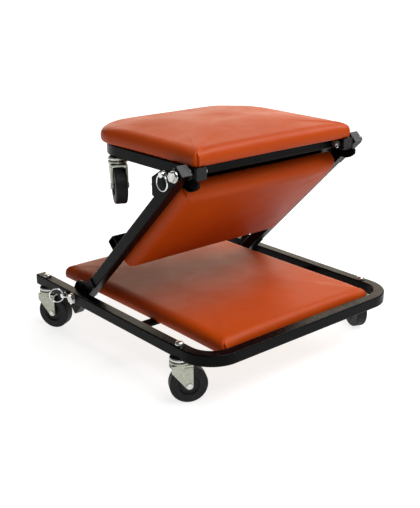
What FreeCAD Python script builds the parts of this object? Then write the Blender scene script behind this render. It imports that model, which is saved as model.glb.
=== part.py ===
import FreeCAD, Part
import math
import os

from FreeCAD import Vector

# Convertible creeper seat: a base frame on casters, a slanted middle panel hinged to it, and a seat
# hinged to the middle panel. X runs across, -Y is the closed front of the base, Z is up from the floor.

# Overall sizes
base_width = 440.0
base_length = 481.0
link_length = 372.0
fold_angle = 135.0
tube_size = 19.0
tube_wall = 1.5
tube_corner = 2.0
base_bend = 57.0
seat_bend = 78.0
cut_overrun = 1.0

# Clearances
bolt_clearance = 0.1
running_fit = 0.05
side_gap = 0.5

# Casters
caster_height = 76.0
wheel_width = 20.0
wheel_edge = 3.0
wheel_hub_radius = 17.0
wheel_dish = 2.5
caster_trail = 13.0
race_radius = 16.0
race_height = 5.2
race_gap = 0.4
swivel_ring_height = 5.5
fork_plate = 2.4
fork_gap = 1.0
crown_gap = 2.5
fork_front = 14.0
fork_tip_radius = 6.0
fork_shoulder = 9.0
rim_share = 0.42
dome_share = 0.8
axle_radius = 3.0
axle_head_radius = 4.5
axle_head = 2.0
kingbolt_radius = 4.0
rivet_radius = 6.0
rivet_head = 1.8
front_caster_inset = 75.5
rear_caster_inset = 24.5
seat_caster_back = 198.0
left_front_swivel_angle = -29.0
left_rear_swivel_angle = -63.0
right_front_swivel_angle = 67.0
right_rear_swivel_angle = -117.0
left_seat_swivel_angle = 243.0
right_seat_swivel_angle = 243.0

# Hinges and pull pins
lower_hinge_inset = 123.5
hinge_bolt_radius = 4.0
flange_radius = 9.0
flange_thickness = 2.0
hex_across_flats = 13.0
hex_height = 5.0
nut_height = 6.4
thread_end = 3.0
plate_thickness = 2.5
index_plate_radius = 27.0
index_plate_tail = 46.0
pin_offset = 21.5
plunger_radius = 3.0
slot_clearance = 0.3
barrel_radius = 5.5
barrel_guide = 3.0
barrel_proud = 1.5
chamber_radius = 4.4
collar_radius = 4.2
collar_height = 2.0
collar_setback = 2.0
groove_floor = 0.6
tip_gap = 0.4
pin_travel = 6.5
knob_radius = 4.6
knob_length = 7.5
knob_edge = 1.2
ring_hole_radius = 2.1
ring_radius = 12.2
ring_wire = 1.1
lower_ring_angle = 40.9
spring_radius = 3.65
spring_wire = 0.4
spring_turns = 4

# Middle panel
mid_gap = 3.0
mid_tail = 56.0
mid_overhang = 12.0
cross_tube_place = 147.0
cross_tube_end_gap = 4.5
upper_cross_setback = 54.0
strap_width = 20.0
strap_thickness = 4.0
mid_pad_start = 115.0
mid_pad_end_gap = 34.0
gusset_reach = 65.0

# Seat
seat_plate_thickness = 4.0
seat_spacing = 9.0
seat_front = 14.0
seat_rear = 268.0
seat_cross_tube_place = 21.0
seat_front_strap = 74.0
seat_rear_strap = 160.0

# Pads
base_pad_rise = 10.0
mid_pad_rise = 15.0
seat_pad_height = 28.5
pad_crown = 2.5
pad_edge = 10.0
pad_draw_in = 2.5
board_thickness = 9.0
board_inset = 6.0
base_pad_nut_gap = 1.5
base_pad_front_gap = 3.0
base_pad_rear_inset = 11.5
pad_corner = 7.0
mid_pad_tube_gap = 5.0
seat_pad_tube_gap = 5.5
seat_pad_rear = 279.0
seat_pad_front_corner = 8.0
seat_pad_rear_corner = 71.0
base_strap_front = 199.5
rear_strap_back = 44.5
strap_drop = 0.5

# Small hardware
cap_thickness = 2.5
cap_stub = 4.0
cap_fit = 0.1
screw_radius = 2.5
screw_head_radius = 5.0
screw_head = 2.5
screw_bite = 6.0
screw_place_share = 0.62

# Places that follow from the sizes
half_tube = tube_size / 2
rail_centre = base_width / 2 - half_tube
rail_inner = base_width / 2 - tube_size
front_end = -base_length / 2
rear_end = base_length / 2
rail_bottom = caster_height
rail_top = caster_height + tube_size
rail_middle = caster_height + half_tube
lower_pivot = Vector(0, rear_end - lower_hinge_inset, rail_middle)
turn = math.radians(fold_angle)
upper_pivot = lower_pivot + Vector(0, link_length * math.cos(turn), link_length * math.sin(turn))
flat_pivot = lower_pivot + Vector(0, link_length, 0)
mid_pad_end = link_length - mid_pad_end_gap
mid_outer = rail_inner - mid_gap
mid_inner = mid_outer - tube_size
mid_centre = mid_outer - half_tube
nut_face = mid_inner - side_gap
bolt_tip = nut_face - nut_height
base_pad_half = bolt_tip - base_pad_nut_gap
mid_pad_half = mid_inner - mid_pad_tube_gap
seat_pad_half = mid_inner - seat_pad_tube_gap
seat_outer = mid_inner - seat_spacing
seat_inner = seat_outer - tube_size
seat_centre = seat_outer - half_tube
seat_top = upper_pivot.z + half_tube
seat_bottom = upper_pivot.z - half_tube
fork_top = caster_height - race_height - race_gap
crown_bottom = fork_top - swivel_ring_height - fork_plate
wheel_diameter = crown_bottom - crown_gap
wheel_radius = wheel_diameter / 2
fork_inner = wheel_width / 2 + fork_gap
fork_outer = fork_inner + fork_plate
spring_solid = 2 * spring_wire * (spring_turns + 1)
chamber_length = collar_setback + collar_height + pin_travel + spring_solid
X_AXIS, Y_AXIS, Z_AXIS = Vector(1, 0, 0), Vector(0, 1, 0), Vector(0, 0, 1)


def export(name, *solids):
    shape = solids[0] if len(solids) == 1 else Part.makeCompound(list(solids))
    shape.exportStep("parts/" + name + ".step")


def mirrored(shape):
    return shape.mirror(Vector(), X_AXIS)


def both_sides(shape):
    return [mirrored(shape), shape]


def box(low, high):
    size = Vector(*high) - Vector(*low)
    return Part.makeBox(size.x, size.y, size.z, Vector(*low))


def rod(start, end, radius):
    """Round bar between two points."""
    start, end = Vector(*start), Vector(*end)
    return Part.makeCylinder(radius, (end - start).Length, start, end - start)


def rod_x(x_from, x_to, centre, radius):
    """Round bar along X about a point of the YZ plane."""
    return rod((x_from, centre.y, centre.z), (x_to, centre.y, centre.z), radius)


def hexagon_x(x_from, x_to, centre, across_flats):
    """Hexagonal bar along X."""
    radius = across_flats / 2 / math.cos(math.pi / 6)
    points = []
    for corner in range(7):
        a = math.radians(60 * corner)
        points.append(Vector(x_from, centre.y + radius * math.cos(a), centre.z + radius * math.sin(a)))
    return Part.Face(Part.makePolygon(points)).extrude(Vector(x_to - x_from, 0, 0))


def plate(points, normal, thickness):
    """Flat plate from its outline."""
    return Part.Face(Part.makePolygon(points + points[:1])).extrude(normal * thickness)


def square_outline(centre, across, up, size, corner):
    """Rounded square wire about a point, in the plane of two unit vectors."""
    half, flat = size / 2, size / 2 - corner
    middle = flat + corner * math.sqrt(0.5)
    edges = []
    for quarter in range(4):
        a = math.radians(90 * quarter)
        u, v = across * math.cos(a) + up * math.sin(a), up * math.cos(a) - across * math.sin(a)
        edges.append(Part.LineSegment(centre + u * half - v * flat, centre + u * half + v * flat).toShape())
        turn_points = [centre + u * half + v * flat, centre + (u + v) * middle, centre + u * flat + v * half]
        edges.append(Part.Arc(*turn_points).toShape())
    return Part.Wire(edges)


def straight_tube(start, end, across, up):
    """Straight square tube with open ends."""
    run = end - start
    outer = Part.Face(square_outline(start, across, up, tube_size, tube_corner)).extrude(run)
    bore = tube_size - 2 * tube_wall
    inner = Part.Face(square_outline(start, across, up, bore, tube_corner - tube_wall)).extrude(run)
    return outer.cut(inner)


def bent_tube(half_width, open_end, closed_end, height, bend):
    """U-bent square tube in a level plane, its centreline given, with round corners at the closed end."""
    way = 1 if closed_end > open_end else -1
    straight_end = closed_end - way * bend
    slant = bend * math.sqrt(0.5)
    points = [Vector(-half_width, open_end, height), Vector(-half_width, straight_end, height)]
    left = [points[1], Vector(bend - half_width - slant, straight_end + way * slant, height),
            Vector(bend - half_width, closed_end, height)]
    right = [Vector(-p.x, p.y, p.z) for p in reversed(left)]
    path = Part.Wire([
        Part.LineSegment(points[0], points[1]).toShape(),
        Part.Arc(*left).toShape(),
        Part.LineSegment(left[2], right[0]).toShape(),
        Part.Arc(*right).toShape(),
        Part.LineSegment(right[2], Vector(half_width, open_end, height)).toShape(),
    ])
    outer = square_outline(points[0], X_AXIS, Z_AXIS, tube_size, tube_corner)
    inner = square_outline(points[0], X_AXIS, Z_AXIS, tube_size - 2 * tube_wall, tube_corner - tube_wall)
    return path.makePipeShell([outer], True, False).cut(path.makePipeShell([inner], True, False))


def end_cap(centre, outward, across, up):
    """Plastic plug with its cover on the end of a square tube."""
    cover = Part.Face(square_outline(centre, across, up, tube_size, tube_corner))
    cover = cover.extrude(outward * cap_thickness)
    stub_size = tube_size - 2 * (tube_wall + cap_fit)
    stub = Part.Face(square_outline(centre, across, up, stub_size, tube_corner - tube_wall))
    return cover.fuse(stub.extrude(outward * -cap_stub)).removeSplitter()


def fold(shape):
    """Turns a middle-panel piece from lying flat to its slanted rest."""
    turned = shape.copy()
    turned.rotate(lower_pivot, X_AXIS, fold_angle)
    return turned


def index_plate(pivot, x_from, thickness):
    """Plate on a tube that runs along +Y from its pivot: the pull pin stands in its pressed arc groove."""
    reach = index_plate_radius
    disc = rod_x(x_from, x_from + thickness, pivot, reach)
    tail = box((x_from, pivot.y, pivot.z - half_tube),
               (x_from + thickness, pivot.y + index_plate_tail, pivot.z + half_tube))
    above = box((x_from - cut_overrun, pivot.y - 2 * reach, pivot.z + half_tube),
                (x_from + thickness + cut_overrun, pivot.y + 2 * reach, pivot.z + 2 * reach))
    beside = box((x_from - cut_overrun, pivot.y - 2 * reach, pivot.z - half_tube),
                 (x_from + thickness + cut_overrun, pivot.y - seat_front, pivot.z + 2 * reach))
    half_slot = plunger_radius + slot_clearance
    groove_front = pivot.y + pin_offset * math.cos(turn) - half_slot
    front = groove_front - (reach - pin_offset - half_slot)
    ahead = box((x_from - cut_overrun, pivot.y - 2 * reach, pivot.z - 2 * reach),
                (x_from + thickness + cut_overrun, front, pivot.z + 2 * reach))
    body = disc.fuse(tail).cut(above).cut(beside).cut(ahead).removeSplitter()
    cut_from, cut_to = x_from + groove_floor, x_from + thickness + cut_overrun
    slot = rod_x(cut_from, cut_to, pivot, pin_offset + half_slot)
    slot = slot.cut(rod_x(cut_from, cut_to, pivot, pin_offset - half_slot))
    corner = 2 * pin_offset
    start, end = 0.0, -fold_angle
    sweep = [Vector(cut_from, pivot.y, pivot.z)]
    for share in (0.0, 0.5, 1.0):
        a = math.radians(start + (end - start) * share)
        sweep.append(Vector(cut_from, pivot.y + corner * math.cos(a), pivot.z + corner * math.sin(a)))
    slot = slot.common(plate(sweep, X_AXIS, cut_to - cut_from))
    for angle in (start, end):
        a = math.radians(angle)
        stop = pivot + Vector(0, pin_offset * math.cos(a), pin_offset * math.sin(a))
        slot = slot.fuse(rod_x(cut_from, cut_to, stop, half_slot))
    pivot_hole = rod_x(x_from - cut_overrun, cut_to, pivot, hinge_bolt_radius + running_fit)
    return body.cut(slot).cut(pivot_hole)


def hinge_bolt(pivot, face, tip):
    """Flanged hexagon bolt along X: its flange lies on the outer face, its thread ends at the tip."""
    head = hexagon_x(face + flange_thickness, face + flange_thickness + hex_height, pivot, hex_across_flats)
    flange = rod_x(face, face + flange_thickness, pivot, flange_radius)
    return rod_x(tip, face, pivot, hinge_bolt_radius).fuse(flange).fuse(head).removeSplitter()


def hinge_nut(pivot, face):
    """Hexagon nut with its bearing face towards +X."""
    body = hexagon_x(face - nut_height, face, pivot, hex_across_flats)
    return body.cut(rod_x(face - nut_height - cut_overrun, face + cut_overrun, pivot,
                          hinge_bolt_radius + running_fit))


def pin_barrel(axis, inner, outer):
    """Guide of a pull pin: a sleeve with a spring chamber."""
    body = rod_x(inner, outer, axis, barrel_radius)
    bore = rod_x(inner - cut_overrun, outer + cut_overrun, axis, plunger_radius + running_fit)
    chamber = rod_x(outer - barrel_guide - chamber_length, outer - barrel_guide, axis, chamber_radius)
    return body.cut(bore).cut(chamber)


def plunger(axis, tip, barrel_outer, hole_way):
    """Pull pin with its spring collar and a cross-drilled knob."""
    knob_from = barrel_outer + side_gap
    knob = rod_x(knob_from, knob_from + knob_length, axis, knob_radius)
    knob = knob.makeFillet(knob_edge, [e for e in knob.Edges if len(e.Vertexes) == 1])
    hole = knob_centre(axis, barrel_outer)
    reach = hole_way * (knob_radius + cut_overrun)
    knob = knob.cut(rod(hole - reach, hole + reach, ring_hole_radius))
    collar_from = barrel_outer - barrel_guide - chamber_length + collar_setback
    collar = rod_x(collar_from, collar_from + collar_height, axis, collar_radius)
    return rod_x(tip, knob_from, axis, plunger_radius).fuse(knob).fuse(collar).removeSplitter()


def knob_centre(axis, barrel_outer):
    return Vector(barrel_outer + side_gap + knob_length / 2, axis.y, axis.z)


def pull_ring(hole, direction, normal):
    """Ring whose wire passes through the hole and which hangs off along the direction."""
    return Part.makeTorus(ring_radius, ring_wire, hole + direction * ring_radius, normal)


def pin_spring(axis, barrel_outer):
    """Coil spring between the plunger's collar and the outer guide, wound as one tube."""
    start = barrel_outer - barrel_guide - chamber_length + collar_setback + collar_height + spring_wire
    end = barrel_outer - barrel_guide - spring_wire
    halves = 2 * 2 * spring_turns
    places = []
    for step in range(halves + 1):
        a = math.pi * step / 2
        x = start + (end - start) * step / halves
        places.append(Vector(x, axis.y + spring_radius * math.cos(a), axis.z + spring_radius * math.sin(a)))
    arcs = []
    for step in range(halves):
        a = math.pi * (step + 0.5) / 2
        x = start + (end - start) * (step + 0.5) / halves
        middle = Vector(x, axis.y + spring_radius * math.cos(a), axis.z + spring_radius * math.sin(a))
        arcs.append(Part.Arc(places[step], middle, places[step + 1]).toShape())
    section = Part.Wire(Part.makeCircle(spring_wire, places[0], Vector(end - start, 0, 0).cross(
        Vector(0, spring_radius, 0))))
    apart = min((later - earlier).Length for earlier, later in zip(places, places[4:]))
    print("spring gap between turns", round(apart - 2 * spring_wire, 3))
    return Part.Wire(arcs).makePipeShell([section], True, False)


def pad_outline(half_width, front, rear, front_corner, rear_corner, inset, scale, height):
    """Outline of a pad at one height: round corners, sides drawn in between them."""
    middle = (front + rear) / 2
    half = (half_width - inset) * scale
    low, high = middle + (front + inset - middle) * scale, middle + (rear - inset - middle) * scale
    corners = []
    for x_way, y_way, corner in ((1, -1, front_corner), (1, 1, rear_corner), (-1, 1, rear_corner),
                                 (-1, -1, front_corner)):
        radius = max(corner - inset, corner / 2) * scale
        end = high if y_way > 0 else low
        corners.append((Vector(x_way * (half - radius), end - y_way * radius, height), radius))
    edges, arcs = [], []
    for index, (centre, radius) in enumerate(corners):
        angles = [math.radians(90 * index - 90 + turn_share * 90) for turn_share in (0.0, 0.5, 1.0)]
        arcs.append([centre + Vector(math.cos(a), math.sin(a), 0) * radius for a in angles])
    for index, arc in enumerate(arcs):
        following = arcs[(index + 1) % len(arcs)][0]
        run = following - arc[2]
        inward = Z_AXIS.cross(run).normalize()
        bow = (arc[2] + following) / 2 + inward * pad_draw_in * scale
        edges.append(Part.Arc(*arc).toShape())
        edges.append(Part.Arc(arc[2], bow, following).toShape())
    return Part.Wire(edges)


# Rounded side of a pad from its underside up, then its crown: shares of the edge size and of the height,
# and shares of the plan with shares of the crown.
pad_side_shares = ((0.35, 0.0), (0.08, 0.14), (0.0, 0.4), (0.12, 0.66), (0.42, 0.87), (1.0, 1.0))
pad_crown_shares = ((0.82, 0.55), (0.55, 0.88), (0.25, 1.0))


def cushion(half_width, front, rear, corners, bottom, height, board):
    """Crowned upholstered pad that wraps a board let into its underside."""
    sections = [pad_outline(half_width, front, rear, *corners, inset_share * pad_edge, 1.0,
                            bottom + height_share * height) for inset_share, height_share in pad_side_shares]
    sections += [pad_outline(half_width, front, rear, *corners, pad_edge, plan_share,
                             bottom + height + crown_share * pad_crown)
                 for plan_share, crown_share in pad_crown_shares]
    return Part.makeLoft(sections, True, True).cut(board)


def pad_board(half_width, front, rear, corners, bottom):
    outline = pad_outline(half_width, front, rear, *corners, board_inset, 1.0, bottom)
    return Part.Face(outline).extrude(Z_AXIS * board_thickness)


def strap(half_length, middle, top):
    return box((-half_length, middle - strap_width / 2, top - strap_thickness),
               (half_length, middle + strap_width / 2, top))


def screws(places, head_face, bite_top):
    """Pan-head screws driven up from below."""
    made = []
    for x, y in places:
        shank = rod((x, y, head_face), (x, y, bite_top), screw_radius)
        head = rod((x, y, head_face - screw_head), (x, y, head_face), screw_head_radius)
        made.append(head.fuse(shank).removeSplitter())
    return made


def screw_holes(places, low, high):
    holes = [rod((x, y, low - cut_overrun), (x, y, high), screw_radius + bolt_clearance) for x, y in places]
    return Part.makeCompound(holes)


def place_caster(shape, stem, top, swivel):
    """Moves a caster piece from its own frame to its stem, turned to its swivel angle."""
    placed = shape.copy()
    placed.rotate(Vector(), Z_AXIS, swivel)
    placed.translate(Vector(stem[0], stem[1], top - caster_height))
    return placed


def race_ring(low, high):
    """Zinc ring of a swivel bearing with a rounded rim."""
    ring = rod((0, 0, low), (0, 0, high), race_radius)
    return ring.makeFillet((high - low) * rim_share, [e for e in ring.Edges if len(e.Vertexes) == 1])


def caster_fork():
    """Pressed fork: swivel ring, crown plate and two tapered legs that hold the axle behind the stem."""
    ring = race_ring(crown_bottom + fork_plate, fork_top)
    rear = caster_trail + fork_tip_radius
    crown = box((-fork_front, -fork_outer, crown_bottom), (rear, fork_outer, crown_bottom + fork_plate))
    shoulder = crown_bottom - fork_shoulder
    tip_back = math.sqrt(0.5) * fork_tip_radius
    leg_points = [(-fork_front, crown_bottom), (-fork_front, shoulder),
                  (caster_trail - tip_back, wheel_radius - tip_back), (caster_trail, wheel_radius),
                  (rear, wheel_radius), (rear, crown_bottom)]
    legs = []
    for side in (-fork_outer, fork_inner):
        outline = [Vector(x, side, z) for x, z in leg_points]
        leg = plate(outline, Y_AXIS, fork_plate)
        tip = rod((caster_trail, side, wheel_radius), (caster_trail, side + fork_plate, wheel_radius),
                  fork_tip_radius)
        legs.append(leg.fuse(tip))
    body = ring.fuse(crown).fuse(legs[0]).fuse(legs[1]).removeSplitter()
    stem_hole = rod((0, 0, crown_bottom - cut_overrun), (0, 0, fork_top + cut_overrun),
                    kingbolt_radius + running_fit)
    reach = fork_outer + cut_overrun
    axle_hole = rod((caster_trail, -reach, wheel_radius), (caster_trail, reach, wheel_radius),
                    axle_radius + bolt_clearance)
    return body.cut(stem_hole).cut(axle_hole)


def caster_axle():
    """Riveted axle with a head on each side of the fork."""
    centre = Vector(caster_trail, 0, wheel_radius)
    bar = Part.makeCylinder(axle_radius, 2 * fork_outer, centre - Y_AXIS * fork_outer, Y_AXIS)
    for side in (-1, 1):
        face = centre + Y_AXIS * (side * fork_outer)
        bar = bar.fuse(Part.makeCylinder(axle_head_radius, axle_head, face, Y_AXIS * side))
    return bar.removeSplitter()


def caster_wheel():
    """Solid wheel with a rounded tread and a dished hub on both faces."""
    half = wheel_width / 2
    centre = Vector(caster_trail, 0, wheel_radius)
    body = Part.makeCylinder(wheel_radius, wheel_width, centre - Y_AXIS * half, Y_AXIS)
    body = body.makeFillet(wheel_edge, [e for e in body.Edges if len(e.Vertexes) == 1])
    for side in (-1, 1):
        face = centre + Y_AXIS * (side * half)
        dish = Part.makeCone(wheel_hub_radius, wheel_hub_radius - wheel_dish, wheel_dish, face,
                             Y_AXIS * -side)
        boss = Part.makeCylinder(axle_head_radius, wheel_dish, face, Y_AXIS * -side)
        body = body.cut(dish.cut(boss))
    return body.cut(Part.makeCylinder(axle_radius + running_fit, wheel_width + 2 * cut_overrun,
                                      centre - Y_AXIS * (half + cut_overrun), Y_AXIS))


def king_bolt(stem, top, head_face):
    """King bolt of a caster: head above, rivet flare under the fork crown."""
    bottom = top - caster_height + crown_bottom - race_gap
    shank = rod((*stem, bottom - rivet_head), (*stem, head_face), kingbolt_radius)
    flare = rod((*stem, bottom - rivet_head), (*stem, bottom), rivet_radius)
    return shank.fuse(flare).removeSplitter()


def solid_race(stem, top):
    """Fixed upper race, closed in the middle."""
    ring = race_ring(0, race_height)
    ring.translate(Vector(stem[0], stem[1], top - race_height))
    return ring


def fixed_race(stem, top):
    """Fixed upper race with a hole for the king bolt."""
    hole = rod((*stem, top - race_height - cut_overrun), (*stem, top + cut_overrun),
               kingbolt_radius + bolt_clearance)
    return solid_race(stem, top).cut(hole)


def dome_head(stem, face):
    """Low domed bolt head on top of a rail."""
    head = rod((*stem, face), (*stem, face + hex_height), flange_radius - flange_thickness)
    top_edge = [e for e in head.Edges if len(e.Vertexes) == 1 and e.CenterOfMass.z > face + hex_height / 2]
    return head.makeFillet(hex_height * dome_share, top_edge)


os.makedirs("parts", exist_ok=True)

# Caster stems, left then right
front_stem = front_end + front_caster_inset
rear_stem = rear_end - rear_caster_inset
base_stems = {
    "left_front": (-rail_centre, front_stem, left_front_swivel_angle),
    "left_rear": (-rail_centre, rear_stem, left_rear_swivel_angle),
    "right_front": (rail_centre, front_stem, right_front_swivel_angle),
    "right_rear": (rail_centre, rear_stem, right_rear_swivel_angle),
}
seat_stem = upper_pivot.y + seat_caster_back
seat_stems = {
    "left_seat": (-seat_centre, seat_stem, left_seat_swivel_angle),
    "right_seat": (seat_centre, seat_stem, right_seat_swivel_angle),
}

# Pull-pin axes and the faces that they work from
lower_pin = lower_pivot + Y_AXIS * pin_offset
upper_pin = upper_pivot + Y_AXIS * pin_offset
lower_barrel_outer = base_width / 2 + barrel_proud
upper_plate_outer = mid_outer + plate_thickness
upper_barrel_outer = upper_plate_outer + barrel_proud
lower_tip = mid_outer + groove_floor + tip_gap
upper_tip = seat_outer + groove_floor + tip_gap
seat_plate_outer = seat_outer + seat_plate_thickness

# Base frame
tube_open_end = rear_end - cap_thickness
frame = bent_tube(rail_centre, tube_open_end, front_end + half_tube, rail_middle, base_bend - half_tube)
reach = base_width / 2 + cut_overrun
for way in (-1, 1):
    frame = frame.cut(rod_x(0, way * reach, lower_pivot, hinge_bolt_radius + bolt_clearance))
    frame = frame.cut(rod_x(0, way * reach, lower_pin, barrel_radius))
for x, y, swivel in base_stems.values():
    frame = frame.cut(rod((x, y, rail_bottom - cut_overrun), (x, y, rail_top + cut_overrun),
                          kingbolt_radius + bolt_clearance))
export("base_frame", frame)
rail_end = Vector(rail_centre, tube_open_end, rail_middle)
export("base_end_caps", *both_sides(end_cap(rail_end, Y_AXIS, X_AXIS, Z_AXIS)))

# Base pad on its two straps: the front one between the rails, the rear one under them, where the
# middle panel's tubes come to lie
base_pad_bottom = rail_bottom + strap_thickness
base_pad_height = rail_top + base_pad_rise - base_pad_bottom
base_pad_front = front_end + tube_size + base_pad_front_gap
base_pad_rear = rear_end - base_pad_rear_inset
base_corners = (pad_corner, pad_corner)
front_strap_y = front_end + base_strap_front
rear_strap_y = lower_pivot.y + rear_strap_back
front_strap = strap(rail_inner, front_strap_y, base_pad_bottom)
rear_strap_top = rail_bottom - strap_drop
rear_strap = strap(base_width / 2 - tube_corner, rear_strap_y, rear_strap_top)
for way in (-1, 1):
    inner, outer = sorted((way * rail_inner, way * (base_width / 2 - tube_corner)))
    rear_strap = rear_strap.fuse(box((inner, rear_strap_y - strap_width / 2, rear_strap_top),
                                     (outer, rear_strap_y + strap_width / 2, rail_bottom)))
spacer_half = base_pad_half * screw_place_share
rear_spacer = box((-spacer_half, rear_strap_y - strap_width / 2, rear_strap_top),
                  (spacer_half, rear_strap_y + strap_width / 2, base_pad_bottom))
rear_strap = rear_strap.fuse(rear_spacer).removeSplitter()
screw_x = base_pad_half * screw_place_share - screw_head_radius
front_screws = [(-screw_x, front_strap_y), (screw_x, front_strap_y)]
rear_screws = [(-screw_x, rear_strap_y), (screw_x, rear_strap_y)]
base_holes = screw_holes(front_screws + rear_screws, rear_strap_top - strap_thickness,
                         base_pad_bottom + screw_bite)
export("base_crossbars", front_strap.cut(base_holes), rear_strap.cut(base_holes))
base_board = pad_board(base_pad_half, base_pad_front, base_pad_rear, base_corners, base_pad_bottom)
export("base_board", base_board.cut(base_holes))
export("base_cushion", cushion(base_pad_half, base_pad_front, base_pad_rear, base_corners, base_pad_bottom,
                               base_pad_height, base_board))
export("base_pad_screws", *screws(front_screws, rail_bottom, base_pad_bottom + screw_bite),
       *screws(rear_screws, rear_strap_top - strap_thickness, base_pad_bottom + screw_bite))

# Lower hinge and the guides of the lower pull pins
export("lower_hinge_bolts", *both_sides(hinge_bolt(lower_pivot, base_width / 2, bolt_tip)))
export("lower_hinge_nuts", *both_sides(hinge_nut(lower_pivot, nut_face)))
export("lower_pin_barrels", *both_sides(pin_barrel(lower_pin, rail_inner, lower_barrel_outer)))
export("lower_pin_springs", *both_sides(pin_spring(lower_pin, lower_barrel_outer)))

# Middle panel, made lying flat behind the base and then folded up
mid_start = lower_pivot - Y_AXIS * (mid_tail - cap_thickness)
mid_end = flat_pivot + Y_AXIS * (mid_overhang - cap_thickness)
to_side = X_AXIS * mid_centre
mid_tube = straight_tube(mid_start + to_side, mid_end + to_side, X_AXIS, Z_AXIS)
for pivot in (lower_pivot, flat_pivot):
    mid_tube = mid_tube.cut(rod_x(0, reach, pivot, hinge_bolt_radius + running_fit))
mid_tube = fold(mid_tube)
export("mid_tube_left", mirrored(mid_tube))
export("mid_tube_right", mid_tube)
mid_caps = [end_cap(mid_end + to_side, Y_AXIS, X_AXIS, Z_AXIS),
            end_cap(mid_start + to_side, -Y_AXIS, X_AXIS, Z_AXIS)]
export("mid_end_caps", *[side for cap in mid_caps for side in both_sides(fold(cap))])

mid_back = rail_bottom
cross_y = lower_pivot.y + cross_tube_place
upper_cross_y = flat_pivot.y - upper_cross_setback
mid_screw_x = mid_pad_half * screw_place_share
cross_screws = [(way * mid_screw_x, y) for y in (cross_y, upper_cross_y) for way in (-1, 1)]
mid_holes = screw_holes(cross_screws, mid_back - tube_size, mid_back + screw_bite)
cross_tubes = []
for y in (cross_y, upper_cross_y):
    cross_half = mid_outer - cross_tube_end_gap
    cross_start = Vector(-cross_half, y, mid_back - half_tube)
    cross_tube = straight_tube(cross_start, cross_start + X_AXIS * (2 * cross_half), Y_AXIS, Z_AXIS)
    cross_tubes.append(fold(cross_tube.cut(mid_holes)))
export("mid_cross_tubes", *cross_tubes)
mid_pad = (mid_pad_half, lower_pivot.y + mid_pad_start, lower_pivot.y + mid_pad_end)
mid_corners = (pad_corner, pad_corner)
mid_board = pad_board(*mid_pad, mid_corners, mid_back)
export("mid_board", fold(mid_board.cut(mid_holes)))
mid_pad_height = tube_size + mid_pad_rise
export("mid_cushion", fold(cushion(*mid_pad, mid_corners, mid_back, mid_pad_height, mid_board)))
mid_screws = screws(cross_screws, mid_back - tube_size, mid_back + screw_bite)
export("mid_pad_screws", *[fold(screw) for screw in mid_screws])

# Plates of the middle panel: the slotted one at the lower hinge, and the gusset at the upper hinge that
# carries the pull pin beside the tube; its outline is in shares of its reach from the pivot
gusset_shares = ((-1.0, -0.174), (-0.697, -0.478), (-0.272, -0.38), (0.087, -0.174), (0.094, 0.146),
                 (-0.863, 0.146))
export("lower_index_plates", *both_sides(fold(index_plate(lower_pivot, mid_outer, plate_thickness))))
gusset_points = [Vector(mid_outer, flat_pivot.y + s * gusset_reach, flat_pivot.z + n * gusset_reach)
                 for s, n in gusset_shares]
gusset = fold(plate(gusset_points, X_AXIS, plate_thickness))
gusset = gusset.cut(rod_x(0, reach, upper_pivot, hinge_bolt_radius + running_fit))
export("upper_pin_plates", *both_sides(gusset.cut(rod_x(0, reach, upper_pin, barrel_radius))))

# Upper hinge and the guides of the upper pull pins
seat_nut_face = seat_inner - side_gap
seat_bolt_tip = seat_nut_face - nut_height - thread_end
export("upper_hinge_bolts", *both_sides(hinge_bolt(upper_pivot, upper_plate_outer, seat_bolt_tip)))
export("upper_hinge_nuts", *both_sides(hinge_nut(upper_pivot, seat_nut_face)))
upper_barrel = pin_barrel(upper_pin, seat_plate_outer + side_gap, upper_barrel_outer)
export("upper_pin_barrels", *both_sides(upper_barrel))
export("upper_pin_springs", *both_sides(pin_spring(upper_pin, upper_barrel_outer)))

# Seat frame, its pad and its hinge plates
seat_front_end = upper_pivot.y - seat_front
seat_open_end = seat_front_end + cap_thickness
seat_closed = upper_pivot.y + seat_rear - half_tube
seat_frame = bent_tube(seat_centre, seat_open_end, seat_closed, upper_pivot.z, seat_bend - half_tube)
for way in (-1, 1):
    seat_frame = seat_frame.cut(rod_x(0, way * reach, upper_pivot, hinge_bolt_radius + running_fit))
for x, y, swivel in seat_stems.values():
    seat_frame = seat_frame.cut(rod((x, y, seat_bottom - cut_overrun), (x, y, seat_top + cut_overrun),
                                    kingbolt_radius + bolt_clearance))
export("seat_frame", seat_frame)
seat_tube_end = Vector(seat_centre, seat_open_end, upper_pivot.z)
export("seat_end_caps", *both_sides(end_cap(seat_tube_end, -Y_AXIS, X_AXIS, Z_AXIS)))
seat_strap_places = (upper_pivot.y + seat_front_strap, upper_pivot.y + seat_rear_strap)
seat_screw_x = seat_inner * screw_place_share
seat_screw_places = [(way * seat_screw_x, y) for y in seat_strap_places for way in (-1, 1)]
seat_holes = screw_holes(seat_screw_places, seat_top - strap_thickness, seat_top + screw_bite)
cross_start = Vector(-seat_inner, upper_pivot.y + seat_cross_tube_place, upper_pivot.z)
seat_cross_tube = straight_tube(cross_start, cross_start + X_AXIS * (2 * seat_inner), Y_AXIS, Z_AXIS)
seat_straps = [strap(seat_inner, y, seat_top).cut(seat_holes) for y in seat_strap_places]
export("seat_crossbars", seat_cross_tube, *seat_straps)
seat_pad = (seat_pad_half, seat_front_end, upper_pivot.y + seat_pad_rear)
seat_corners = (seat_pad_front_corner, seat_pad_rear_corner)
seat_board = pad_board(*seat_pad, seat_corners, seat_top)
export("seat_board", seat_board.cut(seat_holes))
export("seat_cushion", cushion(*seat_pad, seat_corners, seat_top, seat_pad_height, seat_board))
export("seat_pad_screws", *screws(seat_screw_places, seat_top - strap_thickness, seat_top + screw_bite))
export("seat_index_plates", *both_sides(index_plate(upper_pivot, seat_outer, seat_plate_thickness)))
spacer = rod_x(seat_plate_outer, mid_inner - side_gap, upper_pivot, flange_radius)
spacer = spacer.cut(rod_x(0, reach, upper_pivot, hinge_bolt_radius + running_fit))
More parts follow.
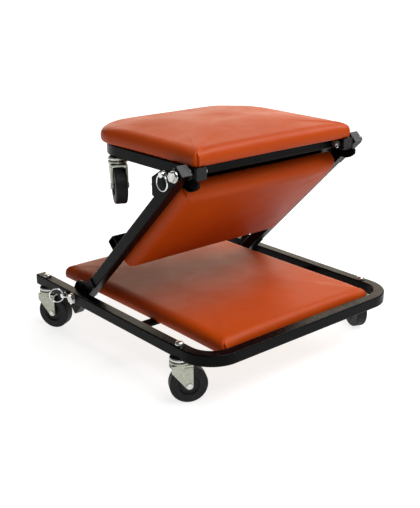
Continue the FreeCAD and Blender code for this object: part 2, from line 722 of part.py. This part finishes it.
export("seat_hinge_spacers", *both_sides(spacer))

# Casters
stems = [(x, y) for x, y, swivel in base_stems.values()]
export("base_caster_races", *[fixed_race(stem, rail_bottom) for stem in stems])
king_bolts = [king_bolt(stem, rail_bottom, rail_top).fuse(dome_head(stem, rail_top)) for stem in stems]
export("base_caster_bolts", *[bolt.removeSplitter() for bolt in king_bolts])
stems = [(x, y) for x, y, swivel in seat_stems.values()]
export("seat_caster_races", *[solid_race(stem, seat_bottom).fuse(king_bolt(stem, seat_bottom, seat_top))
                              for stem in stems])
fork, axle, wheel = caster_fork(), caster_axle(), caster_wheel()
for stem_group, top in ((base_stems, rail_bottom), (seat_stems, seat_bottom)):
    for name, (x, y, swivel) in stem_group.items():
        for piece, shape in (("fork", fork), ("axle", axle), ("wheel", wheel)):
            export(name + "_" + piece, place_caster(shape, (x, y), top, swivel))

# Pull pins and their rings: the lower rings stand out from the rails, the upper ones hang
swing = math.radians(lower_ring_angle)
lower_ring_way = Vector(math.cos(swing), math.sin(swing), 0)
lower_plunger = plunger(lower_pin, lower_tip, lower_barrel_outer, Z_AXIS)
upper_plunger = plunger(upper_pin, upper_tip, upper_barrel_outer, Y_AXIS)
lower_ring = pull_ring(knob_centre(lower_pin, lower_barrel_outer), lower_ring_way,
                       lower_ring_way.cross(Z_AXIS))
upper_ring = pull_ring(knob_centre(upper_pin, upper_barrel_outer), -Z_AXIS, X_AXIS)
for level, pin, ring in (("lower", lower_plunger, lower_ring), ("upper", upper_plunger, upper_ring)):
    export("left_" + level + "_plunger", mirrored(pin))
    export("right_" + level + "_plunger", pin)
    export("left_" + level + "_ring", mirrored(ring))
    export("right_" + level + "_ring", ring)
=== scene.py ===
import bmesh
import bpy
import math
import random
from mathutils import Matrix, Vector


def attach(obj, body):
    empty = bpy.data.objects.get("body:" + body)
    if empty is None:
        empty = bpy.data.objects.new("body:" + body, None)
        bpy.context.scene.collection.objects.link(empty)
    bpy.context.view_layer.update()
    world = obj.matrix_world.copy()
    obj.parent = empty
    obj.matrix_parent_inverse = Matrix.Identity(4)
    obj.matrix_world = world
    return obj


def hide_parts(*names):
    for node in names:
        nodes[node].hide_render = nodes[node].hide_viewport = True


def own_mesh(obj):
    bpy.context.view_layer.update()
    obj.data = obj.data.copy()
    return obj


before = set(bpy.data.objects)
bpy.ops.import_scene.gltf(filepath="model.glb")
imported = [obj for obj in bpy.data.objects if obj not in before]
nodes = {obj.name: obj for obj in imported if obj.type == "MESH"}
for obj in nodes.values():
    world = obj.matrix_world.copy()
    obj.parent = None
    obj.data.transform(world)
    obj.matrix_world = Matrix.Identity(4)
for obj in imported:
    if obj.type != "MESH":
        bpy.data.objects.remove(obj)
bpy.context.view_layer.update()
MM = 0.001
FOLD = math.radians(135)
LOWER_PIVOT = Vector((0, 0.117, 0.0855))
# From the flat place, in which the middle panel's pieces are written below, to their place at rest
FOLD_TURN = (Matrix.Translation(LOWER_PIVOT) @ Matrix.Rotation(FOLD, 4, "X")
             @ Matrix.Translation(-LOWER_PIVOT))


# Materials. Every pattern reads object coordinates, which are metres in the part's own frame.

class Shader:
    """One node material with the few calls that the patterns below share."""

    def __init__(self, name):
        self.material = bpy.data.materials.new(name)
        self.material.use_nodes = True
        self.tree = self.material.node_tree
        self.bsdf = self.tree.nodes["Principled BSDF"]
        self.coords = self.tree.nodes.new("ShaderNodeTexCoord").outputs["Object"]

    def node(self, kind, inputs=None, **settings):
        made = self.tree.nodes.new("ShaderNode" + kind)
        for key, value in settings.items():
            setattr(made, key, value)
        for key, value in (inputs or {}).items():
            self.link(value, made.inputs[key])
        return made

    def link(self, value, socket):
        if isinstance(value, bpy.types.NodeSocket):
            self.tree.links.new(value, socket)
        else:
            socket.default_value = value

    def set(self, **values):
        for key, value in values.items():
            self.link(value, self.bsdf.inputs[key.replace("_", " ")])

    def stretched(self, scale):
        return self.node("Mapping", {"Vector": self.coords, "Scale": scale}).outputs["Vector"]

    def noise(self, scale, detail=2.0, rough=0.5, vector=None):
        made = self.node("TexNoise", {"Vector": vector or self.coords, "Scale": scale, "Detail": detail,
                                      "Roughness": rough})
        return made.outputs["Fac"]

    def cells(self, scale, feature="F1", vector=None):
        made = self.node("TexVoronoi", {"Vector": vector or self.coords, "Scale": scale}, feature=feature)
        return made.outputs["Distance"]

    def remap(self, value, low, high, to_low, to_high):
        made = self.node("MapRange", {"Value": value, "From Min": low, "From Max": high, "To Min": to_low,
                                      "To Max": to_high})
        return made.outputs["Result"]

    def mix(self, share, first, second):
        made = self.node("Mix", data_type="RGBA")
        for value, place in ((share, 0), (first, 6), (second, 7)):
            self.link(value, made.inputs[place])
        return made.outputs[2]

    def blend(self, operation, first, second):
        made = self.node("Math", operation=operation)
        self.link(first, made.inputs[0])
        self.link(second, made.inputs[1])
        return made.outputs["Value"]

    def bump(self, height, distance, strength=1.0, below=None):
        inputs = {"Height": height, "Distance": distance, "Strength": strength}
        if below is not None:
            inputs["Normal"] = below
        return self.node("Bump", inputs).outputs["Normal"]


def srgb(red, green, blue):
    """Linear colour from the usual 0 to 255 values."""
    parts = [value / 255 for value in (red, green, blue)]
    return tuple(v / 12.92 if v <= 0.04045 else ((v + 0.055) / 1.055) ** 2.4 for v in parts) + (1.0,)


def vinyl():
    """Orange upholstery vinyl: shallow grain of small cells, soft colour drift, a slight sheen."""
    s = Shader("orange_vinyl")
    drift = s.remap(s.noise(7.0, 3.0), 0.3, 0.7, 0.0, 1.0)
    tone = s.mix(drift, srgb(161, 56, 2), srgb(171, 62, 4))
    pores = s.remap(s.cells(950.0, "SMOOTH_F1"), 0.0, 0.55, 0.0, 1.0)
    tone = s.mix(s.remap(pores, 0.0, 1.0, 0.0, 0.12), tone, srgb(132, 42, 2))
    s.set(Base_Color=tone, Roughness=s.remap(s.noise(22.0, 4.0), 0.3, 0.7, 0.44, 0.54))
    grain = s.bump(pores, 0.00012, 0.6)
    s.set(Normal=s.bump(s.noise(38.0, 3.0), 0.0009, 0.5, grain))
    s.set(Specular_IOR_Level=0.16, Specular_Tint=(1.0, 0.86, 0.72, 1.0))
    return s.material


def black_paint():
    """Glossy black enamel on steel tube: faint orange peel, dust and rubbed spots."""
    s = Shader("black_enamel")
    dust = s.remap(s.noise(45.0, 6.0, 0.7), 0.52, 0.8, 0.0, 1.0)
    s.set(Base_Color=s.mix(dust, srgb(4, 4, 5), srgb(11, 11, 11)))
    s.set(Roughness=s.remap(s.noise(120.0, 3.0), 0.3, 0.7, 0.24, 0.36))
    s.set(Normal=s.bump(s.noise(420.0, 2.0), 0.00008, 0.5))
    s.set(Specular_IOR_Level=0.06)
    return s.material


def zinc(name, light, rough):
    """Zinc-plated pressed steel: cloudy plating and fine draw lines."""
    s = Shader(name)
    clouds = s.remap(s.noise(160.0, 4.0), 0.3, 0.7, 0.0, 1.0)
    s.set(Base_Color=s.mix(clouds, srgb(*[int(v * 0.88) for v in light]), srgb(*light)), Metallic=1.0)
    lines = s.noise(240.0, 2.0, 0.5, s.stretched((1.0, 1.0, 9.0)))
    s.set(Roughness=s.remap(lines, 0.3, 0.7, rough, rough + 0.12))
    s.set(Normal=s.bump(lines, 0.00004, 0.6))
    return s.material


def chrome():
    """Bright nickel-chrome wire and pins with faint handling haze."""
    s = Shader("bright_chrome")
    haze = s.noise(300.0, 3.0)
    s.set(Base_Color=s.mix(haze, srgb(205, 206, 208), srgb(238, 238, 238)), Metallic=1.0)
    s.set(Roughness=s.remap(haze, 0.3, 0.7, 0.06, 0.16))
    return s.material


def rubber():
    """Black hard rubber: dull, a little dust in its pits."""
    s = Shader("wheel_rubber")
    dust = s.remap(s.noise(210.0, 5.0, 0.65), 0.5, 0.8, 0.0, 1.0)
    s.set(Base_Color=s.mix(dust, srgb(22, 22, 23), srgb(46, 45, 44)), Specular_IOR_Level=0.2)
    s.set(Roughness=s.remap(s.noise(90.0, 3.0), 0.3, 0.7, 0.45, 0.6))
    s.set(Normal=s.bump(s.noise(900.0, 2.0), 0.00008, 0.6))
    return s.material


def plastic():
    """Moulded black plastic with a fine spark-eroded texture."""
    s = Shader("cap_plastic")
    grain = s.noise(1300.0, 2.0)
    s.set(Base_Color=s.mix(s.noise(60.0, 3.0), srgb(13, 13, 14), srgb(23, 23, 24)), Specular_IOR_Level=0.25)
    s.set(Roughness=s.remap(grain, 0.3, 0.7, 0.38, 0.55), Normal=s.bump(grain, 0.00008, 0.6))
    return s.material


def plywood():
    """Birch plywood: long grain along X with darker veins."""
    s = Shader("plywood")
    fibre = s.noise(60.0, 6.0, 0.6, s.stretched((0.6, 9.0, 9.0)))
    veins = s.remap(s.noise(14.0, 3.0, 0.5, s.stretched((0.8, 7.0, 7.0))), 0.45, 0.62, 0.0, 1.0)
    tone = s.mix(s.remap(fibre, 0.3, 0.7, 0.0, 1.0), srgb(196, 160, 112), srgb(170, 128, 82))
    s.set(Base_Color=s.mix(s.blend("MULTIPLY", veins, 0.4), tone, srgb(128, 88, 52)))
    s.set(Roughness=s.remap(fibre, 0.3, 0.7, 0.6, 0.78), Normal=s.bump(fibre, 0.0002, 0.5))
    return s.material


VINYL, PAINT, RUBBER, PLASTIC, WOOD = vinyl(), black_paint(), rubber(), plastic(), plywood()
CHROME = chrome()
FORK_ZINC = zinc("fork_zinc", (176, 178, 164), 0.3)
BOLT_ZINC = zinc("bolt_zinc", (214, 215, 212), 0.2)


def dress(node, material):
    slots = nodes[node].material_slots
    if slots:
        for slot in slots:
            slot.material = material
    else:
        nodes[node].data.materials.append(material)


ENDINGS = (("_board", WOOD), ("_wheel", RUBBER), ("_end_caps", PLASTIC), ("_ring", CHROME),
           ("_plunger", CHROME), ("_springs", BOLT_ZINC), ("_fork", FORK_ZINC), ("_axle", BOLT_ZINC),
           ("_races", BOLT_ZINC), ("_bolts", BOLT_ZINC), ("_nuts", BOLT_ZINC), ("_screws", BOLT_ZINC),
           ("_barrels", BOLT_ZINC), ("_spacers", BOLT_ZINC), ("_cushion", VINYL))
for node in nodes:
    dress(node, next((material for ending, material in ENDINGS if node.endswith(ending)), PAINT))


# Pads: a ring mesh per pad with a hem under its board, blown up by a short cloth simulation, with a folded
# tuck at each sharp corner.

END_STEPS, CORNER_STEPS, SIDE_STEPS = 14, 10, 36
CORNER_TURN = 90 // CORNER_STEPS
# Pad section from the hem up: inset in mm, share of the height.
SECTION = ((25.0, 0.1), (24.0, -0.015), (15.0, -0.017), (7.0, -0.012), (4.2, 0.0), (2.2, 0.03), (0.9, 0.10),
           (0.2, 0.22), (0.0, 0.36), (0.3, 0.49), (1.1, 0.605), (2.4, 0.71), (4.2, 0.80), (6.5, 0.875),
           (9.4, 0.935), (13.0, 0.98))
TOP_INSETS = (17, 22, 29, 37, 47, 60, 75, 92, 111, 132)
HELD_ROWS, HEM_ROWS, TOP_ROWS = 6, 4, 6
TOP_MARGIN, LAST_MARGIN = 30 * MM, 22 * MM
CROWN_START, CROWN_SHARE = 8 * MM, 0.75
CORNER_SHARE, INNER_CORNER_SHARE = 0.45, 0.6
DRAW_IN, DRAW_FADE = 2.5 * MM, 60 * MM
SINK_REACH, SINK_CORNER_SHARE, SINK_POWER = 55 * MM, 0.7, 1.5
CLOTH_FRAMES = 20
TUCK_SPAN, TUCK_DEPTH, TUCK_LEAN, TUCK_DRIFT = 12 * MM, 3.6 * MM, 3.0 * MM, 1.0 * MM
TUCK_TOP, TUCK_FADE = 1.02, 0.22
SLIT_WIDTH = 1.25 * MM
LIP_PLACE, LIP_WIDTH, LIP_RISE = 3.2 * MM, 2.2 * MM, 0.9 * MM
EASE_PLACE, EASE_WIDTH, EASE_FALL = 3.5 * MM, 2.8 * MM, 0.35 * MM


def eased(count, both, even):
    """Steps from 0 to 1 that shorten towards 1, or towards both ends; even of 1 makes them all alike."""
    turn = [math.pi * step / count for step in range(count + 1)]
    bent = [(1 - math.cos(a)) / 2 if both else math.sin(a / 2) for a in turn]
    return [b * (1 - even) + even * step / count for step, b in enumerate(bent)]


def half_outline(half, front, rear, front_corner, rear_corner, draw_in, even):
    """Right half of a pad's outline from front centre to rear centre."""
    points = []
    for t in eased(END_STEPS, False, even)[:-1]:
        points.append((t * (half - front_corner), front + draw_in * (1 - t * t)))
    for step in range(CORNER_STEPS):
        a = math.radians(CORNER_TURN * step - 90)
        points.append((half - front_corner + front_corner * math.cos(a),
                       front + front_corner + front_corner * math.sin(a)))
    for t in eased(SIDE_STEPS, True, even)[:-1]:
        y = front + front_corner + t * (rear - rear_corner - front - front_corner)
        points.append((half - draw_in * 4 * t * (1 - t), y))
    for step in range(CORNER_STEPS):
        a = math.radians(CORNER_TURN * step)
        points.append((half - rear_corner + rear_corner * math.cos(a),
                       rear - rear_corner + rear_corner * math.sin(a)))
    for t in reversed(eased(END_STEPS, False, even)):
        points.append((t * (half - rear_corner), rear - draw_in * (1 - t * t)))
    return points


def smooth(t):
    t = min(max(t, 0.0), 1.0)
    return t * t * (3 - 2 * t)


class Pad:
    def __init__(self, name, half, front, rear, corners, bottom, height, crown, droop):
        self.droop = [d * MM for d in droop]
        self.name, self.half, self.front, self.rear = name, half * MM, front * MM, rear * MM
        self.corners, self.bottom = [c * MM for c in corners], bottom * MM
        self.height, self.crown = height * MM, crown * MM

    def build(self):
        """Closed mesh of rings, mirrored about the YZ plane, closed by a fan above and below."""
        reach = min(self.half, (self.rear - self.front) / 2)
        rings = [(inset * MM, self.bottom + share * self.height) for inset, share in SECTION]
        for inset in TOP_INSETS:
            if inset * MM < reach - TOP_MARGIN:
                rise = smooth((inset * MM - CROWN_START) / (reach * CROWN_SHARE))
                rings.append((inset * MM, self.bottom + self.height + rise * self.crown))
        rings.append((reach - LAST_MARGIN, self.bottom + self.height + self.crown))
        bm = bmesh.new()
        self.rows = []
        last = rings[-1][0]
        for inset, z in rings:
            grow = smooth(inset / last)
            inner = reach - inset
            corner = [max(c - inset, c * CORNER_SHARE) * (1 - grow) + INNER_CORNER_SHARE * inner * grow
                      for c in self.corners]
            draw = DRAW_IN * max(0.0, 1 - inset / DRAW_FADE)
            half = half_outline(self.half - inset, self.front + inset, self.rear - inset, *corner, draw, grow)
            loop = half + [(-x, y) for x, y in reversed(half[1:-1])]
            level = (z - self.bottom) / self.height
            self.rows.append([bm.verts.new((x, y, z - level * self.sink(x, y))) for x, y in loop])
        count = len(self.rows[0])
        for lower, upper in zip(self.rows, self.rows[1:]):
            for i in range(count):
                j = (i + 1) % count
                bm.faces.new((lower[i], lower[j], upper[j], upper[i]))
        middle = (self.front + self.rear) / 2
        crown = bm.verts.new((0, middle, rings[-1][1]))
        under = bm.verts.new((0, middle, rings[0][1]))
        for i in range(count):
            j = (i + 1) % count
            bm.faces.new((self.rows[-1][i], self.rows[-1][j], crown))
            bm.faces.new((self.rows[0][j], self.rows[0][i], under))
        bm.normal_update()
        mesh = bpy.data.meshes.new(self.name)
        bm.verts.index_update()
        self.rows = [[v.index for v in row] for row in self.rows]
        self.under = under.index
        bm.to_mesh(mesh)
        bm.free()
        self.object = bpy.data.objects.new(self.name, mesh)
        bpy.context.scene.collection.objects.link(self.object)
        mesh.materials.append(VINYL)
        return self

    def sink(self, x, y):
        """How far the top is pulled down near a corner, where the cover is drawn round the board."""
        down = 0.0
        for end, way, radius, droop in ((self.front, 1, self.corners[0], self.droop[0]),
                                        (self.rear, -1, self.corners[1], self.droop[1])):
            reach = SINK_REACH + radius * SINK_CORNER_SHARE
            far = math.hypot(self.half - abs(x), (y - end) * way)
            down += droop * (1 - smooth(far / reach)) ** SINK_POWER
        return down

    def inflate(self, pressure, most):
        """Blows the pad up on its board, with the swell scaled so that no point moves further than most."""
        scene = bpy.context.scene
        pins = self.object.vertex_groups.new(name="held")
        pins.add([i for row in self.rows[:HELD_ROWS] for i in row] + [self.under], 1.0, "REPLACE")
        cloth = self.object.modifiers.new("cloth", "CLOTH")
        settings = cloth.settings
        settings.quality, settings.mass = 6, 0.25
        settings.tension_stiffness = settings.compression_stiffness = 30
        settings.shear_stiffness, settings.bending_stiffness = 12, 0.8
        settings.vertex_group_mass = "held"
        settings.use_pressure, settings.uniform_pressure_force = True, pressure
        settings.effector_weights.gravity = 0
        cloth.point_cache.frame_start, cloth.point_cache.frame_end = 1, CLOTH_FRAMES
        for step in range(1, CLOTH_FRAMES + 1):
            scene.frame_set(step)
        blown = self.object.evaluated_get(bpy.context.evaluated_depsgraph_get())
        moves = [b.co - v.co for b, v in zip(blown.data.vertices, self.object.data.vertices)]
        self.object.modifiers.remove(cloth)
        scene.frame_set(1)
        share = min(1.0, most / max(move.length for move in moves))
        for vertex, move in zip(self.object.data.vertices, moves):
            vertex.co += move * share
        return self

    def tuck(self, corner):
        """Folded tuck down one corner: a slit beside the corner, with a raised lip next to it."""
        x_way, y_way = corner
        end = self.front if y_way < 0 else self.rear
        radius = self.corners[0 if y_way < 0 else 1]
        centre = Vector((x_way * (self.half - radius), end - y_way * radius, 0))
        mesh = self.object.data
        for row in self.rows[HEM_ROWS:-TOP_ROWS]:
            for i in row:
                v = mesh.vertices[i].co
                out = Vector((v.x - centre.x, v.y - centre.y, 0))
                if out.length < 1e-6 or out.x * x_way < -TUCK_SPAN or out.y * y_way < -TUCK_SPAN:
                    continue
                along = (math.atan2(out.y * y_way, out.x * x_way) - math.pi / 4) * radius
                if out.x * x_way < 0:
                    along = (math.pi / 4) * radius - out.x * x_way
                elif out.y * y_way < 0:
                    along = -(math.pi / 4) * radius + out.y * y_way
                level = (v.z - self.bottom) / self.height
                fade = smooth((TUCK_TOP - level) / TUCK_FADE)
                s = along - TUCK_LEAN - TUCK_DRIFT * (1 - level)
                slit = math.exp(-(s / SLIT_WIDTH) ** 2)
                lip = math.exp(-((s - LIP_PLACE) / LIP_WIDTH) ** 2)
                ease = math.exp(-((s + EASE_PLACE) / EASE_WIDTH) ** 2)
                away = out.normalized()
                v += away * fade * (LIP_RISE * lip - TUCK_DEPTH * slit - EASE_FALL * ease)
        return self

    def done(self, body, node, turned=False):
        if turned:
            self.object.data.transform(FOLD_TURN)
        mesh = self.object.data
        mesh.polygons.foreach_set("use_smooth", [True] * len(mesh.polygons))
        rounding = self.object.modifiers.new("rounding", "SUBSURF")
        rounding.levels = rounding.render_levels = 1
        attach(self.object, body)
        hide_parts(node)
        return self.object


SLACK = 1.2
PRESSURE = 0.6
base_pad = Pad("base_pad", 170.6 - SLACK, -218.5 + SLACK, 229 - SLACK, (7, 7), 80, 24.8, 2.2, (1.5, 1)).build()
base_pad.inflate(PRESSURE, 2.0 * MM)
mid_pad = Pad("mid_pad", 172 - SLACK, 232 + SLACK, 455 - SLACK, (5, 7), 76, 33.6, 1.8, (0, 2)).build()
mid_pad.inflate(PRESSURE, 1.8 * MM)
seat_pad = Pad("seat_pad", 173.5 - SLACK, -160.04 + SLACK, 132.96 - SLACK, (8, 71), 358.04, 26.9, 7.0,
               (1.5, 5)).build()
seat_pad.inflate(PRESSURE, 2.0 * MM)
FRONT_CORNERS, REAR_CORNERS = ((-1, -1), (1, -1)), ((-1, 1), (1, 1))
for pad, corners in ((base_pad, FRONT_CORNERS + REAR_CORNERS), (seat_pad, FRONT_CORNERS),
                     (mid_pad, FRONT_CORNERS + REAR_CORNERS)):
    for corner in corners:
        pad.tuck(corner)
base_pad.done("base", "base_cushion")
mid_pad.done("mid", "mid_cushion", turned=True)
seat_pad.done("seat", "seat_cushion")


# Small pieces, in mm: weld beads, hem staples, the pressed bands on the caster forks and the pins' springs.

PLAIN = Matrix.Scale(MM, 4)
FOLDED = FOLD_TURN @ PLAIN
SWEEP_SIDE = Vector((0.3, 0.5, 0.8))
BEAD_RADIUS, BEAD_STEP, BEAD_LEAST_STEPS = 1.5, 0.55, 10
STAPLE_SHAPE = ((-4.6, 1.2), (-4.6, 0.1), (-4.2, -0.35), (4.2, -0.35), (4.6, 0.1), (4.6, 1.2))
STAPLE_WIRE, STAPLE_SIDES, STAPLE_DROP = 0.5, 6, 0.5
STAPLE_INSET, STAPLE_PITCH, STAPLE_CLEAR = 12, 36, 15
STAPLE_TURN, STAPLE_SHIFT = 0.2, 2
# Fork band: inset and distance from the wheel's middle of each ring, then its outline and the axle's place
BAND_RINGS = ((0.0, 13.3), (0.15, 13.8), (0.6, 14.1))
BAND_FRONT, BAND_REAR, BAND_TOP, BAND_ROUND, BAND_ARC_STEPS = 5.2, 18.6, 61.6, 5.6, 14
AXLE_X, AXLE_Z = 13, 30
# Swivel stem's x and y, lift above a base caster and swivel angle at rest
CASTERS = {"left_front": (-210.5, -165, 0, -29), "left_rear": (-210.5, 216, 0, -63),
           "right_front": (210.5, -165, 0, 67), "right_rear": (210.5, 216, 0, -117),
           "left_seat": (-160.5, 51.96, 263.04, 243), "right_seat": (160.5, 51.96, 263.04, 243)}
# Middles of the straps and cross tubes under each pad, along Y
BASE_STRAPS, MID_TUBES, SEAT_STRAPS = (-41, 161.5), (264, 434.9), (-72, 14)
RAIL_INNER, SEAT_INNER, TUBE_UNDER = 201, 151, 75.8


def piece(name, bm, place, material, body):
    bmesh.ops.recalc_face_normals(bm, faces=bm.faces)
    bm.transform(place)
    mesh = bpy.data.meshes.new(name)
    bm.to_mesh(mesh)
    bm.free()
    mesh.materials.append(material)
    made = bpy.data.objects.new(name, mesh)
    bpy.context.scene.collection.objects.link(made)
    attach(made, body)
    return made


def sweep(bm, points, radii, sides=8):
    """Closed tube through the points, with one radius for each of them."""
    rings = []
    for i, point in enumerate(points):
        ahead = (points[min(i + 1, len(points) - 1)] - points[max(i - 1, 0)]).normalized()
        side = ahead.cross(SWEEP_SIDE).normalized()
        up = ahead.cross(side)
        turns = [math.tau * k / sides for k in range(sides)]
        rings.append([bm.verts.new(point + (side * math.cos(a) + up * math.sin(a)) * radii[i]) for a in turns])
    for lower, upper in zip(rings, rings[1:]):
        for k in range(sides):
            j = (k + 1) % sides
            bm.faces.new((lower[k], lower[j], upper[j], upper[k])).smooth = True
    bm.faces.new(list(reversed(rings[0])))
    bm.faces.new(rings[-1])


def weld(name, lines, place, body):
    """Rippled beads along the lines, thinner at their ends."""
    bm = bmesh.new()
    for start, end in lines:
        start, end = Vector(start), Vector(end)
        count = max(BEAD_LEAST_STEPS, int((end - start).length / BEAD_STEP))
        steps = range(count + 1)
        ripple = [0.87 + 0.13 * math.cos(1.5 * i) for i in steps]
        thin = [min(1.0, 0.4 + 0.2 * min(i, count - i)) for i in steps]
        radii = [BEAD_RADIUS * r * t for r, t in zip(ripple, thin)]
        sweep(bm, [start.lerp(end, i / count) for i in steps], radii)
    piece(name, bm, place, PAINT, body)


def staple(bm, middle, along):
    """One wire staple under a hem: a straight back with both legs bent up into the board."""
    points = [middle + along * a + Vector((0, 0, up)) for a, up in STAPLE_SHAPE]
    sweep(bm, points, [STAPLE_WIRE] * len(points), STAPLE_SIDES)


def staples(name, pad, place, body, sides, tubes):
    """Staples along a pad's edges, left out over the tubes and straps that lie under the board."""
    rng = random.Random(7)
    bm = bmesh.new()
    half, front, rear, level = (v / MM for v in (pad.half, pad.front, pad.rear, pad.bottom))
    level -= STAPLE_DROP
    ends = [front + STAPLE_INSET] + ([rear - STAPLE_INSET] if sides else [])
    spots = [((x, y), 0.0) for y in ends for x in range(int(-half) + 24, int(half) - 20, STAPLE_PITCH)]
    if sides:
        for way in (-1, 1):
            places = range(int(front) + 30, int(rear) - 26, STAPLE_PITCH)
            spots += [((way * (half - STAPLE_INSET), y), math.pi / 2) for y in places]
    for (x, y), angle in spots:
        if all(abs(y - tube) > STAPLE_CLEAR for tube in tubes):
            angle += rng.uniform(-STAPLE_TURN, STAPLE_TURN)
            x += rng.uniform(-STAPLE_SHIFT, STAPLE_SHIFT)
            staple(bm, Vector((x, y, level)), Vector((math.cos(angle), math.sin(angle), 0)))
    piece(name, bm, place, BOLT_ZINC, body)


def fork_bands(name, x, y, lift, angle):
    """Raised flat band down the rear half of both fork legs, rounded round the axle."""
    bm = bmesh.new()
    for way in (-1, 1):
        rings = []
        for inset, out in BAND_RINGS:
            radius, top = BAND_ROUND - inset, BAND_TOP - inset
            outline = [(BAND_FRONT + inset, top), (BAND_REAR - inset, top)]
            for k in range(BAND_ARC_STEPS + 1):
                a = math.pi * k / BAND_ARC_STEPS
                outline.append((AXLE_X + radius * math.cos(a), AXLE_Z - radius * math.sin(a)))
            rings.append([bm.verts.new((px, way * out, pz)) for px, pz in outline])
        count = len(rings[0])
        for lower, upper in zip(rings, rings[1:]):
            for k in range(count):
                j = (k + 1) % count
                bm.faces.new((lower[k], lower[j], upper[j], upper[k]))
        bm.faces.new(rings[-1])
        bm.faces.new(list(reversed(rings[0])))
    place = PLAIN @ Matrix.Translation((x, y, lift)) @ Matrix.Rotation(math.radians(angle), 4, "Z")
    piece(name + "_bands", bm, place, FORK_ZINC, name + "_swivel")


base_welds, mid_welds, seat_welds = [], [], []
for way in (-1, 1):
    rail, seat_tube = way * RAIL_INNER, way * SEAT_INNER
    base_welds.append(((rail, -50.5, 80), (rail, -31.5, 80)))
    base_welds += [((way * 204, y, TUBE_UNDER), (way * 217, y, TUBE_UNDER)) for y in (151.5, 171.5)]
    mid_welds += [((way * 180.5, y + end, TUBE_UNDER), (way * 192.5, y + end, TUBE_UNDER))
                  for y in MID_TUBES for end in (-9.3, 9.3)]
    seat_welds += [((seat_tube, -134.3, 341.5), (seat_tube, -134.3, 355.5)),
                   ((seat_tube, -133, 339.6), (seat_tube, -117, 339.6))]
    seat_welds += [((seat_tube, y - 9, 354), (seat_tube, y + 9, 354)) for y in SEAT_STRAPS]
weld("base_welds", base_welds, PLAIN, "base")
weld("mid_welds", mid_welds, FOLDED, "mid")
weld("seat_welds", seat_welds, PLAIN, "seat")
staples("base_staples", base_pad, PLAIN, "base", True, BASE_STRAPS)
staples("mid_staples", mid_pad, FOLDED, "mid", True, MID_TUBES)
staples("seat_staples", seat_pad, PLAIN, "seat", False, ())
for name, place in CASTERS.items():
    fork_bands(name, *place)


def pin_springs(level, body):
    """One spring per side, cut from the CAD coils into a piece with a mesh of its own."""
    coils = nodes[level + "_pin_springs"]
    for side, way in (("left", -1), ("right", 1)):
        bm = bmesh.new()
        bm.from_mesh(coils.data)
        bm.transform(coils.matrix_world)
        bmesh.ops.delete(bm, geom=[v for v in bm.verts if v.co.x * way < 0], context="VERTS")
        name = side + "_" + level
        spring = piece(name + "_spring", bm, Matrix.Identity(4), BOLT_ZINC, body)
        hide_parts(level + "_pin_springs")
        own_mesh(spring)


pin_springs("lower", "base")
pin_springs("upper", "mid")


# Stage: white floor that is partly self-lit, dim surroundings, soft lights from the right, the front and behind.

def area_light(name, place, target, size, power, colour=(1, 1, 1)):
    lamp = bpy.data.lights.new(name, "AREA")
    lamp.shape, lamp.size, lamp.size_y = "RECTANGLE", size[0], size[1]
    lamp.energy, lamp.color = power, colour
    holder = bpy.data.objects.new(name, lamp)
    holder.location = place
    holder.visible_camera = False
    holder.rotation_euler = (Vector(target) - Vector(place)).to_track_quat("-Z", "Y").to_euler()
    bpy.context.scene.collection.objects.link(holder)


floor_mesh = bpy.data.meshes.new("floor")
floor_mesh.from_pydata([(-30, -30, 0), (30, -30, 0), (30, 30, 0), (-30, 30, 0)], [], [(0, 1, 2, 3)])
floor = bpy.data.objects.new("floor", floor_mesh)
bpy.context.scene.collection.objects.link(floor)
floor_shader = Shader("pale_floor")
floor_shader.set(Base_Color=(0.35, 0.35, 0.35, 1.0), Roughness=0.9, Specular_IOR_Level=0.1)
far = floor_shader.node("VectorMath", {0: floor_shader.coords}, operation="LENGTH").outputs["Value"]
floor_glow = floor_shader.remap(far, 0.5, 2.6, 0.8, 0.98)
floor_shader.set(Emission_Color=(1.0, 1.0, 1.0, 1.0), Emission_Strength=floor_glow)
floor_mesh.materials.append(floor_shader.material)

world = bpy.data.worlds.new("studio")
world.use_nodes = True
world.node_tree.nodes["Background"].inputs["Color"].default_value = (1, 1, 1, 1)
world.node_tree.nodes["Background"].inputs["Strength"].default_value = 0.15
bpy.context.scene.world = world
area_light("key", (1.7, -0.5, 2.0), (0, 0, 0.2), (1.0, 1.0), 29)
area_light("top", (0.5, -1.2, 2.6), (0, 0, 0.2), (2.2, 1.8), 82)
area_light("back", (2.6, 3.0, 1.3), (0, 0, 0.3), (4.5, 2.2), 76, (1.0, 0.87, 0.7))

view_settings = bpy.context.scene.view_settings
view_settings.view_transform, view_settings.look = "Standard", "None"

# Camera at the photograph's place
camera_data = bpy.data.cameras.new("camera")
camera_data.sensor_width, camera_data.lens = 36, 60.71
camera = bpy.data.objects.new("camera", camera_data)
camera.location = (-0.942, -1.081, 0.649)
yaw, pitch = math.radians(40.87), math.radians(19.29)
look = Vector((math.sin(yaw) * math.cos(pitch), math.cos(yaw) * math.cos(pitch), -math.sin(pitch)))
camera.rotation_euler = look.to_track_quat("-Z", "Y").to_euler()
camera_data.clip_start, camera_data.clip_end = 0.05, 100
bpy.context.scene.collection.objects.link(camera)
bpy.context.scene.camera = camera
